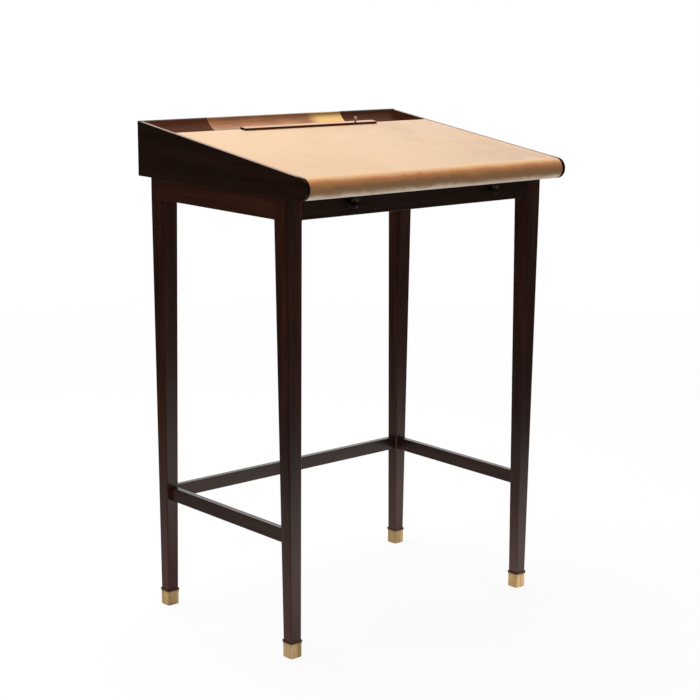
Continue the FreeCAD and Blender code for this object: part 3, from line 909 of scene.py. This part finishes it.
@dataclass
class WritingSlope:
    """The hide that covers the slope, rolls over the nose and turns back under it."""

    half_width: float = 0.3667
    back_y: float = 0.289
    back_z: float = 1.1
    edge_y: float = 0.1615
    nose_radius: float = 0.023
    turned_under: float = 0.023
    thickness: float = 0.002
    columns: int = 56
    rows: int = 34
    roll_steps: int = 22
    under_steps: int = 2
    pick_margin: float = 0.0001
    merge_distance: float = 0.00001
    wave_length: float = 0.09
    slack: float = 0.00025
    rim_radius: float = 0.0006
    rim_angle: float = math.radians(50)
    smooth_angle: float = math.radians(35)
    tilt: float = field(init=False)
    slope_length: float = field(init=False)
    roll_length: float = field(init=False)

    def __post_init__(self) -> None:
        """Work out the slope's angle and the hide's lengths."""
        run, rise = self.back_y - NOSE_Y, self.back_z - NOSE_Z
        self.tilt = math.atan2(rise, run) - math.asin(self.nose_radius / math.hypot(run, rise))
        self.slope_length = (self.edge_y - self.tangent.y) / math.cos(self.tilt)
        self.roll_length = self.nose_radius * (math.pi - self.tilt)

    @property
    def up_slope(self) -> Vector:
        """Direction up the slope, to the back of the desk."""
        return Vector((0.0, math.cos(self.tilt), math.sin(self.tilt)))

    @property
    def tangent(self) -> Vector:
        """Where the slope meets the roll, in the middle of the desk."""
        return Vector((0.0, NOSE_Y - self.nose_radius * math.sin(self.tilt),
                       NOSE_Z + self.nose_radius * math.cos(self.tilt)))

    @property
    def flat_size(self) -> Tuple[float, float]:
        """Width and length of the hide before it was laid."""
        return 2 * self.half_width, self.slope_length + self.roll_length + self.turned_under

    def down_the_hide(self, point: Vector) -> float:
        """Distance of a point from the hide's back edge, measured along the hide.

        Args:
            point: a point on or just under the hide's face.

        Returns:
            The distance.
        """
        from_nose = Vector((0.0, point.y - NOSE_Y, point.z - NOSE_Z))
        ahead = from_nose.dot(self.up_slope)
        if ahead > 0 and from_nose.z > 0:
            return self.slope_length - ahead
        if from_nose.y > 0 and from_nose.z < 0:
            return self.slope_length + self.roll_length + from_nose.y
        start = Vector((0.0, -math.sin(self.tilt), math.cos(self.tilt)))
        turn = math.acos(max(-1.0, min(1.0, start.dot(from_nose.normalized()))))
        return self.slope_length + self.nose_radius * turn

    def lay(self) -> bpy.types.Object:
        """Model the hide.

        Returns:
            The finished mesh object.
        """
        bpy.ops.object.select_all(action="DESELECT")
        middle = self.tangent + self.up_slope * self.slope_length / 2
        bpy.ops.mesh.primitive_grid_add(x_subdivisions=self.columns, y_subdivisions=self.rows, size=1,
                                        location=middle, rotation=(self.tilt, 0, 0))
        hide = bpy.context.object
        hide.name = hide.data.name = "leather_hide"
        hide.scale = (2 * self.half_width, self.slope_length, 1)
        bpy.ops.object.transform_apply(location=True, rotation=True, scale=True)
        self.pick_front_edge(hide)
        bpy.ops.object.mode_set(mode="EDIT")
        bpy.ops.mesh.spin(steps=self.roll_steps, angle=math.pi - self.tilt,
                          center=(0, NOSE_Y, NOSE_Z), axis=(-1, 0, 0))
        back = (0, self.turned_under / self.under_steps, 0)
        for _ in range(self.under_steps):
            bpy.ops.mesh.extrude_edges_move(TRANSFORM_OT_translate={"value": back})
        bpy.ops.mesh.select_all(action="SELECT")
        bpy.ops.mesh.remove_doubles(threshold=self.merge_distance)
        bpy.ops.mesh.normals_make_consistent(inside=False)
        bpy.ops.object.mode_set(mode="OBJECT")
        self.face_outwards(hide)
        self.soften(hide)
        self.unroll(hide)
        return hide

    def pick_front_edge(self, hide: bpy.types.Object) -> None:
        """Select only the edges where the slope meets the roll, ready for edit mode.

        Args:
            hide: the mesh object.
        """
        mesh = hide.data
        for piece in (*mesh.polygons, *mesh.edges):
            piece.select = False
        for vertex in mesh.vertices:
            vertex.select = vertex.co.y < self.tangent.y + self.pick_margin
        for edge in mesh.edges:
            edge.select = all(mesh.vertices[v].select for v in edge.vertices)

    def face_outwards(self, hide: bpy.types.Object) -> None:
        """Turn the faces over if the slope's face looks down.

        Args:
            hide: the mesh object.
        """
        top = max(hide.data.polygons, key=lambda polygon: polygon.center.z)
        if top.normal.z < 0:
            bpy.ops.object.mode_set(mode="EDIT")
            bpy.ops.mesh.select_all(action="SELECT")
            bpy.ops.mesh.flip_normals()
            bpy.ops.object.mode_set(mode="OBJECT")

    def soften(self, hide: bpy.types.Object) -> None:
        """Give the hide its thickness, its faint waves and its rubbed rims.

        Args:
            hide: the mesh object.
        """
        waves = bpy.data.textures.new("hide_waves", "CLOUDS")
        waves.noise_scale = self.wave_length
        sag = hide.modifiers.new("sag", "DISPLACE")
        sag.texture, sag.texture_coords = waves, "LOCAL"
        sag.mid_level, sag.strength = 1.0, self.slack
        wall = hide.modifiers.new("wall", "SOLIDIFY")
        wall.thickness, wall.offset = self.thickness, -1.0
        rim = hide.modifiers.new("rim", "BEVEL")
        rim.width, rim.segments = self.rim_radius, 3
        rim.limit_method, rim.angle_limit = "ANGLE", self.rim_angle
        for name in ("sag", "wall", "rim"):
            bpy.ops.object.modifier_apply(modifier=name)
        bpy.ops.object.shade_smooth_by_angle(angle=self.smooth_angle)

    def unroll(self, hide: bpy.types.Object) -> None:
        """Map the hide flat, at its real size: U across the desk and V down the hide.

        Args:
            hide: the mesh object.
        """
        mesh = hide.data
        while mesh.uv_layers:
            mesh.uv_layers.remove(mesh.uv_layers[0])
        layer = mesh.uv_layers.new(name=HIDE_MAP)
        for loop in mesh.loops:
            point = mesh.vertices[loop.vertex_index].co
            layer.data[loop.index].uv = (point.x, self.down_the_hide(point))

    def build(self) -> None:
        hide = self.lay()
        hide.data.materials.clear()
        hide.data.materials.append(TanHide("calf_hide", self.slope_length, self.roll_length).material())
        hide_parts("leather_cover")
        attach(hide, "desk")
        self.flat_size
        report.info("leather_hide flat %.4f x %.4f m, %d faces",
                    *self.flat_size, len(hide.data.polygons))


@dataclass
class PenTray:
    """Coved wooden tray with its brass liner, which is kept bright towards its right end as a painted
    highlight.
    """

    # Stretch of the liner kept bright: a painted highlight.
    bright_from: float = 0.088
    bright_to: float = 0.124
    edge_reach: float = 0.002

    def dress(self) -> None:
        """Show the redder wood of the tray and the drawn sheet brass in it."""
        dress(mahogany(Tone.TRAY, Grain.ACROSS), ["tray_bed"])
        # The liner's right end is kept bright as a painted highlight, and its upward faces carry a
        # painted reflection.
        dress(OldBrass("brass_liner", bright=(0.98, 0.62, 0.22), browned=(0.58, 0.24, 0.11),
                       shadowed=(0.37, 0.16, 0.075), upward_reflection_paint=(0.56, 0.40, 0.29),
                       edge=(0.80, 0.60, 0.40), drawn=Grain.ACROSS,
                       tarnish=0.72, roughness=0.3, solidity=0.4,
                       edge_reach=self.edge_reach, highlight_patch=Onset("X", self.bright_from, self.bright_to)),
              ["tray_liner"])


@dataclass
class PageBar:
    """Swinging bar with its ball-headed pin and washer."""

    def dress(self) -> None:
        """Polish the bar and leave the pin and the washer bright."""
        dress(bar_wood(), ["page_bar"])
        dress(OldBrass("brass_pin", bright=(0.82, 0.62, 0.47), browned=(0.70, 0.48, 0.36), tarnish=0.6,
                       roughness=0.5, solidity=0.35), ["bar_pin", "bar_washer"])


@dataclass
class Drawer:
    """Drawer box, its knobs and the runners that carry it."""

    def dress(self) -> None:
        """Polish the front and the knobs and leave the box plain."""
        # The drawer front takes the darker front tone: painted shade under the nose.
        dress(mahogany(Tone.FRONT, Grain.ACROSS), ["drawer_front"])
        dress(knob_wood(), pair("knob"))
        dress(lining_wood(Grain.ACROSS), ["drawer_back", "drawer_bottom"])
        dress(lining_wood(Grain.DEEP),
              pair("drawer_side") + pair("runner") + pair("guide") + pair("drawer_stop"))


# ---------------------------------------------------------------- studio


@dataclass(frozen=True)
class Lamp:
    """Soft rectangular lamp that lights the desk and doesn't show in its polish."""

    name: str
    place: Place
    aim: Place
    size: Tuple[float, float]
    watts: float

    def hang(self) -> None:
        """Make the lamp and turn it to its aim."""
        light = bpy.data.lights.new(self.name, "AREA")
        light.shape = "RECTANGLE"
        light.size, light.size_y = self.size
        light.energy = self.watts
        made = bpy.data.objects.new(self.name, light)
        made.visible_camera = False
        made.visible_glossy = False
        made.location = self.place
        aimed = Vector(self.aim) - Vector(self.place)
        made.rotation_euler = aimed.to_track_quat("-Z", "Y").to_euler()
        bpy.context.collection.objects.link(made)


@dataclass
class Studio:
    """Pale floor, soft lamps, white surroundings and the camera."""

    focal_pixels: float = 1748.221
    image_pixels: float = 700.0
    sensor_width: float = 36.0
    centre_x: float = 430.0
    centre_y: float = 405.0
    yaw: float = math.radians(-43.767)
    pitch: float = math.radians(13.684)
    roll: float = math.radians(1.097)
    camera_place: Place = (-2.564078, -2.933443, 1.411158)
    lamps: Tuple[Lamp, ...] = (Lamp("overhead", (-0.1, 0.9, 3.6), (0.0, 0.0, 1.0), (2.6, 2.6), 82.0),
                               Lamp("side", (-3.2, 0.4, 1.9), (0.0, 0.0, 0.8), (1.4, 1.8), 14.0))
    behind: Glow = Glow((0.66, 0.71, 0.18), 0.92, 0.985, 1.35)
    above_right: Glow = Glow((0.66, 0.05, 0.75), 0.86, 0.96, 1.2)
    front_right: Glow = Glow((0.41, -0.88, 0.24), 0.96, 0.985, 1.1)
    overhead: Glow = Glow((0.0, 0.0, 1.0), 0.86, 0.98, 0.6)
    mirrored_dark: float = 0.02
    daylight: Glow = Glow((0.66, 0.71, 0.18), -0.6, 0.9, 0.35)
    daylight_least: float = 0.2
    floor_half: float = 9.0
    floor_grey: float = 0.88
    floor_shadow: float = 0.12
    floor_shine: float = 0.90
    floor_fade: Tuple[float, float] = (1.6, 4.5)
    in_front: Glow = Glow((0.69, -0.72, 0.0), -0.3, 0.5, 0.78)
    floor_mirrored: float = 0.36
    mirrored_fade: Tuple[float, float] = (0.7, 2.2)
    mirrored_lost: float = 0.95

    def camera(self) -> None:
        """Make the camera and give it to the scene."""
        ahead = Vector((math.sin(-self.yaw) * math.cos(self.pitch),
                        math.cos(-self.yaw) * math.cos(self.pitch), -math.sin(self.pitch)))
        level = Vector((math.cos(-self.yaw), -math.sin(-self.yaw), 0.0))
        above = level.cross(ahead)
        right = math.cos(self.roll) * level + math.sin(self.roll) * above
        up = -math.sin(self.roll) * level + math.cos(self.roll) * above
        lens = bpy.data.cameras.new("camera")
        lens.sensor_width = self.sensor_width
        lens.lens = self.sensor_width * self.focal_pixels / self.image_pixels
        lens.shift_x = (self.image_pixels / 2 - self.centre_x) / self.image_pixels
        lens.shift_y = (self.centre_y - self.image_pixels / 2) / self.image_pixels
        lens.clip_start, lens.clip_end = 0.05, 100.0
        made = bpy.data.objects.new("camera", lens)
        bpy.context.collection.objects.link(made)
        turn = Matrix((right, up, -ahead)).transposed()
        made.matrix_world = Matrix.Translation(self.camera_place) @ turn.to_4x4()
        bpy.context.scene.camera = made

    def surroundings(self) -> None:
        """White to the eye, bright behind the desk and dim in front of it."""
        world = bpy.data.worlds.new("surroundings")
        world.use_nodes = True
        bpy.context.scene.world = world
        board = Board(world.node_tree)
        seen, glossy, through = board.rays()
        mirrored = board.larger(glossy, through)
        toward = board.node("ShaderNodeTexCoord", output="Generated")
        reflected: Value = self.mirrored_dark
        for glow in (self.behind, self.above_right, self.front_right, self.overhead):
            reflected = reflected + glow.shine(board, toward)
        ambient = self.daylight_least + self.daylight.shine(board, toward)
        unseen = mirrored * reflected + (1.0 - mirrored) * ambient
        strength = seen + (1.0 - seen) * unseen
        shine = board.node("ShaderNodeBackground", {}, {"Color": WHITE, "Strength": strength})
        board.close("ShaderNodeOutputWorld", shine)

    def floor_paint(self, board: Board) -> Wire:
        """Write the floor's nodes.

        Args:
            board: the floor material's empty board.

        Returns:
            A shader that keeps the desk's shadow, and that shows in gloss only near the desk.
        """
        eye, glossy, through = board.rays()
        place = board.place()
        reach = board.node("ShaderNodeVectorMath", {"operation": "LENGTH"}, {0: place}, "Value")
        shadowed = board.node("ShaderNodeAddShader", {},
                              {0: board.matt(self.floor_shadow), 1: board.light(self.floor_shine)})
        to_the_eye = board.choose(board.ease(reach, *self.floor_fade), shadowed, board.light(1.0))
        near = 1.0 - board.ease(reach, *self.mirrored_fade) * self.mirrored_lost
        mirrored = (self.floor_mirrored + self.in_front.shine(board, place)) * near
        in_gloss = board.choose(glossy, board.matt(self.floor_grey), board.light(mirrored))
        return board.choose(board.larger(eye, through), in_gloss, to_the_eye)

    def floor(self) -> None:
        """Lay the white floor."""
        bpy.ops.object.select_all(action="DESELECT")
        bpy.ops.mesh.primitive_plane_add(size=2 * self.floor_half, location=(0, 0, 0))
        floor = bpy.context.object
        floor.name = "floor"
        material = bpy.data.materials.new("studio_floor")
        material.use_nodes = True
        board = Board(material.node_tree)
        board.close("ShaderNodeOutputMaterial", self.floor_paint(board))
        floor.data.materials.append(material)

    def build(self) -> None:
        """Set the studio up."""
        self.camera()
        self.floor()
        self.surroundings()
        for lamp in self.lamps:
            lamp.hang()
        bpy.context.scene.view_settings.view_transform = "Standard"


def main() -> None:
    """Build and dress every sub-assembly, then the studio."""
    logging.basicConfig(level=logging.INFO, format="%(message)s")
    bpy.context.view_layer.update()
    LegFrame().dress()
    CaseShell().dress()
    WritingSlope().build()
    PenTray().dress()
    PageBar().dress()
    Drawer().dress()
    Studio().build()


if __name__ == "__main__":
    main()
